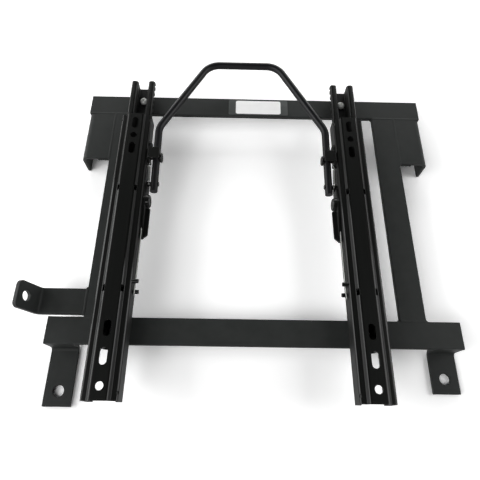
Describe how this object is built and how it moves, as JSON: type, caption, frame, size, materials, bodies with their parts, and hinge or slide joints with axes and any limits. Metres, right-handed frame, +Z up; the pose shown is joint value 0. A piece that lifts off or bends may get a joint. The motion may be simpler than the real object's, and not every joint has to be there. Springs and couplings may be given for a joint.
{
  "type": "seat slide rail",
  "caption": "Car seat slide rail set: roll-formed ball slides with lock levers on a welded flat-bar frame, freed by a bent release bar under the seat front.",
  "frame": {"origin": "on the floor, under the middle of the bounding box", "axes": "+Z up, +Y towards the front of the seat and the grip of the release bar, +X to the right of the seat"},
  "size_m": [0.515, 0.468, 0.069],
  "materials": {
    "powder_coat": "satin",
    "rail_coat": "semi-gloss",
    "zinc": "zinc plated",
    "spring_steel": "plain"
  },
  "bodies": {
    "base": {"front_crossbar": "powder_coat", "rear_crossbar": "powder_coat", "left_side_bar": "powder_coat", "right_side_bar": "powder_coat", "left_front_bracket": "powder_coat", "right_front_bracket": "powder_coat", "left_rear_foot": "powder_coat", "right_rear_foot": "powder_coat", "belt_tab": "powder_coat", "weld_fillets": "powder_coat", "left_lower_rail": "rail_coat", "right_lower_rail": "rail_coat", "rail_bolts": "zinc", "rail_nuts": "zinc"},
    "carriage": {"left_upper_rail": "rail_coat", "right_upper_rail": "rail_coat", "left_pivot_bracket": "rail_coat", "right_pivot_bracket": "rail_coat", "bracket_rivets": "rail_coat", "pivot_bolts": "rail_coat", "lever_pins": "rail_coat", "spring_studs": "rail_coat", "left_return_spring": "spring_steel", "right_return_spring": "spring_steel", "left_wire_spring": "spring_steel", "right_wire_spring": "spring_steel"},
    "handle": {"release_bar": "powder_coat", "cross_pins": "rail_coat"},
    "left_lever": {"left_lock_lever": "rail_coat"},
    "right_lever": {"right_lock_lever": "rail_coat"},
    "left_inner_bearing": {"left_inner_cage": "spring_steel", "left_inner_balls": "zinc"},
    "left_outer_bearing": {"left_outer_cage": "spring_steel", "left_outer_balls": "zinc"},
    "right_inner_bearing": {"right_inner_cage": "spring_steel", "right_inner_balls": "zinc"},
    "right_outer_bearing": {"right_outer_cage": "spring_steel", "right_outer_balls": "zinc"}
  },
  "joints": [
    {"name": "carriage_slide", "type": "slide", "parent": "base", "child": "carriage", "axis": [0, 1, 0], "range_m": [-0.04, 0.14]},
    {"name": "handle_lift", "type": "hinge", "parent": "carriage", "child": "handle", "pos_m": [-0.00346, 0.075, 0.052], "axis": [1, 0, 0], "range_deg": [-5.5, 6], "stiffness_Nm_per_rad": 12, "springref_deg": -6.88, "deforming": ["left_return_spring", "right_return_spring"]},
    {"name": "left_lever_swing", "type": "hinge", "parent": "carriage", "child": "left_lever", "pos_m": [-0.14846, 0.01012, 0.04897], "axis": [1, 0, 0], "range_deg": [-9.2, 8.5], "deforming": ["left_wire_spring"]},
    {"name": "right_lever_swing", "type": "hinge", "parent": "carriage", "child": "right_lever", "pos_m": [0.14154, 0.01012, 0.04897], "axis": [1, 0, 0], "range_deg": [-9.2, 8.5], "deforming": ["right_wire_spring"]},
    {"name": "left_inner_roll", "type": "slide", "parent": "base", "child": "left_inner_bearing", "axis": [0, 1, 0], "range_m": [-0.02, 0.07]},
    {"name": "left_outer_roll", "type": "slide", "parent": "base", "child": "left_outer_bearing", "axis": [0, 1, 0], "range_m": [-0.02, 0.07]},
    {"name": "right_inner_roll", "type": "slide", "parent": "base", "child": "right_inner_bearing", "axis": [0, 1, 0], "range_m": [-0.02, 0.07]},
    {"name": "right_outer_roll", "type": "slide", "parent": "base", "child": "right_outer_bearing", "axis": [0, 1, 0], "range_m": [-0.02, 0.07]}
  ],
  "couplings": [
    {"joint": "left_lever_swing", "follows": "handle_lift", "ratio": -1.5},
    {"joint": "right_lever_swing", "follows": "handle_lift", "ratio": -1.5},
    {"joint": "left_inner_roll", "follows": "carriage_slide", "ratio": 0.5},
    {"joint": "left_outer_roll", "follows": "carriage_slide", "ratio": 0.5},
    {"joint": "right_inner_roll", "follows": "carriage_slide", "ratio": 0.5},
    {"joint": "right_outer_roll", "follows": "carriage_slide", "ratio": 0.5}
  ]
}
